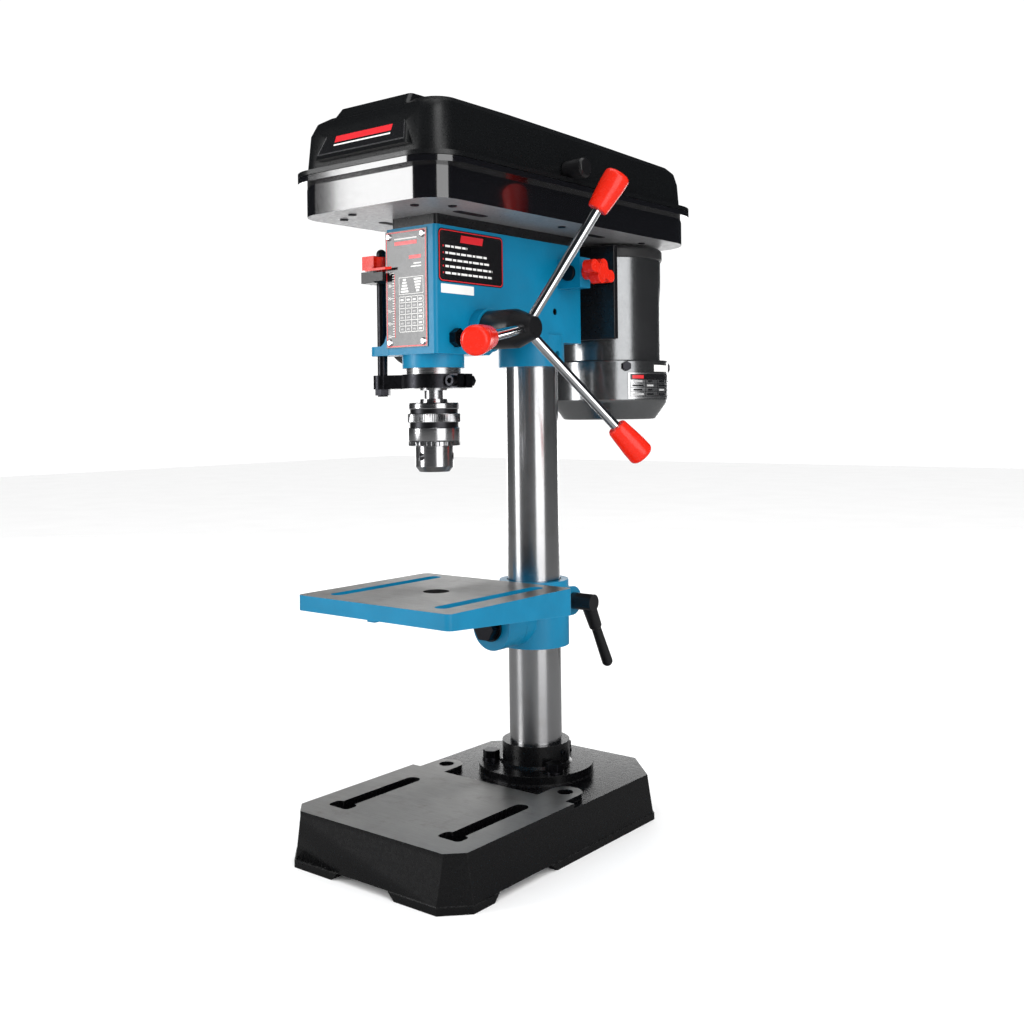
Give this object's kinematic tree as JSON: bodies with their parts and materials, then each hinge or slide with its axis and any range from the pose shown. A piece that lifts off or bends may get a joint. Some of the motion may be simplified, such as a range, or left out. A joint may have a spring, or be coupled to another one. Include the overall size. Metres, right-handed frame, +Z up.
{
  "type": "bench drill press",
  "caption": "Bench drill press with a slotted base, round column, tilting slotted table, lever-fed quill with keyed chuck, stepped-pulley belt drive under a hinged cover and a rear motor.",
  "frame": {"origin": "on the bench plane, midway between the two bench bolt holes in the base", "axes": "+Z up; +X to the right, the side of the feed handle; -Y to the front, where the spindle and table are"},
  "size_m": [0.2293, 0.4091, 0.5901],
  "materials": {
    "cast_black": "semi-gloss black paint, machined grey on the front pad",
    "bright_tube": "ground and polished",
    "blue_paint": "teal-blue enamel on cast iron",
    "black_steel": "black oxide",
    "black_plastic": "glossy black",
    "matt_black_plastic": "satin black",
    "red_plastic": "glossy orange-red",
    "green_plastic": "glossy green",
    "chrome": "polished",
    "steel": "machined",
    "liner": "moulded",
    "plate": "printed black",
    "label": "brushed, printed",
    "alu": "die-cast",
    "rubber": "matt",
    "black_paint": "satin black paint",
    "copper": "laminations and varnished windings"
  },
  "bodies": {
    "stand": {"base": "cast_black", "column_flange": "cast_black", "flange_bolts": "black_steel", "flange_set_screw": "black_steel", "column": "bright_tube", "head_casting": "blue_paint", "head_set_screws": "black_steel", "front_plate": "plate", "plate_screws": "steel", "side_plate": "plate", "gib_screw": "black_steel", "spring_cup": "black_paint", "return_spring": "steel", "sleeve_bearings": "steel", "belt_housing": "black_plastic", "housing_screws": "black_steel", "hinge_pins": "steel", "v_belt": "rubber", "switch_box": "matt_black_plastic", "cable_gland": "matt_black_plastic"},
    "liner": {"bracket_liner": "liner"},
    "bracket": {"table_bracket": "blue_paint", "clamp_stud": "black_steel", "tilt_bolt": "black_steel"},
    "lever": {"clamp_lever": "black_steel"},
    "tilting_table": {"table": "blue_paint"},
    "feed": {"pinion_shaft": "steel", "feed_hub": "black_steel", "feed_arms": "chrome", "feed_knobs": "red_plastic"},
    "quill_group": {"quill": "steel", "quill_collar": "black_steel", "collar_bolt": "black_steel", "depth_rod": "black_steel", "depth_pointer": "red_plastic", "spindle_bearings": "steel"},
    "stop_block": {"depth_stop": "matt_black_plastic"},
    "spindle_group": {"spindle": "steel", "chuck_body": "chrome"},
    "chuck_ring": {"chuck_sleeve": "chrome"},
    "chuck_jaw_1": {"jaw_1": "steel"},
    "chuck_jaw_2": {"jaw_2": "steel"},
    "chuck_jaw_3": {"jaw_3": "steel"},
    "drive": {"drive_sleeve": "steel", "spindle_pulley": "alu"},
    "lid": {"belt_lid": "black_plastic", "lid_knob": "black_plastic"},
    "motor": {"slide_rods": "black_steel", "motor_mount": "black_paint", "motor_can": "black_paint", "motor_cap": "matt_black_plastic", "motor_bell": "black_paint", "motor_nameplate": "label", "motor_screws": "black_steel", "stator": "copper"},
    "rotor": {"motor_shaft": "steel", "motor_pulley": "alu"},
    "star": {"star_knob": "red_plastic"},
    "start": {"start_button": "green_plastic"},
    "stop": {"stop_button": "red_plastic"}
  },
  "joints": [
    {"name": "table_lift", "type": "slide", "parent": "stand", "child": "liner", "axis": [0, 0, 1], "range_m": [-0.06, 0.04]},
    {"name": "table_swing", "type": "hinge", "parent": "liner", "child": "bracket", "pos_m": [0, 0.046, 0.18], "axis": [0, 0, 1], "continuous": true},
    {"name": "table_tilt", "type": "hinge", "parent": "bracket", "child": "tilting_table", "pos_m": [0, 0, 0.172], "axis": [0, 1, 0], "range_deg": [-45, 45]},
    {"name": "clamp_lever_turn", "type": "hinge", "parent": "bracket", "child": "lever", "pos_m": [0.028, 0.088, 0.182], "axis": [1, 0, 0], "range_deg": [-30, 90]},
    {"name": "feed_turn", "type": "hinge", "parent": "stand", "child": "feed", "pos_m": [0, -0.053, 0.419], "axis": [1, 0, 0], "range_deg": [0, 327], "stiffness_Nm_per_rad": 0.12, "springref_deg": -171.89, "deforming": ["return_spring"]},
    {"name": "quill_feed", "type": "slide", "parent": "stand", "child": "quill_group", "axis": [0, 0, -1], "range_m": [0, 0.05]},
    {"name": "depth_stop_slide", "type": "slide", "parent": "quill_group", "child": "stop_block", "axis": [0, 0, 1], "range_m": [-0.045, 0]},
    {"name": "motor_spin", "type": "hinge", "parent": "motor", "child": "rotor", "pos_m": [0, 0.168, 0.45], "axis": [0, 0, 1], "continuous": true},
    {"name": "pulley_spin", "type": "hinge", "parent": "stand", "child": "drive", "pos_m": [0, -0.082, 0.54], "axis": [0, 0, 1], "continuous": true},
    {"name": "spindle_spin", "type": "hinge", "parent": "quill_group", "child": "spindle_group", "pos_m": [0, -0.082, 0.4], "axis": [0, 0, 1], "continuous": true},
    {"name": "chuck_sleeve_turn", "type": "hinge", "parent": "spindle_group", "child": "chuck_ring", "pos_m": [0, -0.082, 0.345], "axis": [0, 0, 1], "range_deg": [0, 2880]},
    {"name": "jaw_1_slide", "type": "slide", "parent": "spindle_group", "child": "chuck_jaw_1", "axis": [0, -0.2756, -0.9613], "range_m": [0, 0.016]},
    {"name": "jaw_2_slide", "type": "slide", "parent": "spindle_group", "child": "chuck_jaw_2", "axis": [0.2387, 0.1378, -0.9613], "range_m": [0, 0.016]},
    {"name": "jaw_3_slide", "type": "slide", "parent": "spindle_group", "child": "chuck_jaw_3", "axis": [-0.2387, 0.1378, -0.9613], "range_m": [0, 0.016]},
    {"name": "lid_open", "type": "hinge", "parent": "stand", "child": "lid", "pos_m": [-0.087, 0.02, 0.539], "axis": [0, -1, 0], "range_deg": [0, 100]},
    {"name": "motor_slide", "type": "slide", "parent": "stand", "child": "motor", "axis": [0, 1, 0], "range_m": [-0.012, 0], "deforming": ["v_belt"]},
    {"name": "star_knob_turn", "type": "hinge", "parent": "stand", "child": "star", "pos_m": [0.06, 0.0575, 0.473], "axis": [1, 0, 0], "range_deg": [0, 360]},
    {"name": "start_press", "type": "slide", "parent": "stand", "child": "start", "axis": [1, 0, 0], "range_m": [0, 0.003], "stiffness_N_per_m": 250, "springref_m": -0.004},
    {"name": "stop_press", "type": "slide", "parent": "stand", "child": "stop", "axis": [1, 0, 0], "range_m": [0, 0.003], "stiffness_N_per_m": 250, "springref_m": -0.004}
  ],
  "couplings": [
    {"joint": "quill_feed", "follows": "feed_turn", "m_per_rad": 0.00875},
    {"joint": "pulley_spin", "follows": "motor_spin", "ratio": 0.58823},
    {"joint": "spindle_spin", "follows": "motor_spin", "ratio": 0.58823},
    {"joint": "jaw_1_slide", "follows": "chuck_sleeve_turn", "m_per_rad": 0.00031831},
    {"joint": "jaw_2_slide", "follows": "chuck_sleeve_turn", "m_per_rad": 0.00031831},
    {"joint": "jaw_3_slide", "follows": "chuck_sleeve_turn", "m_per_rad": 0.00031831}
  ]
}
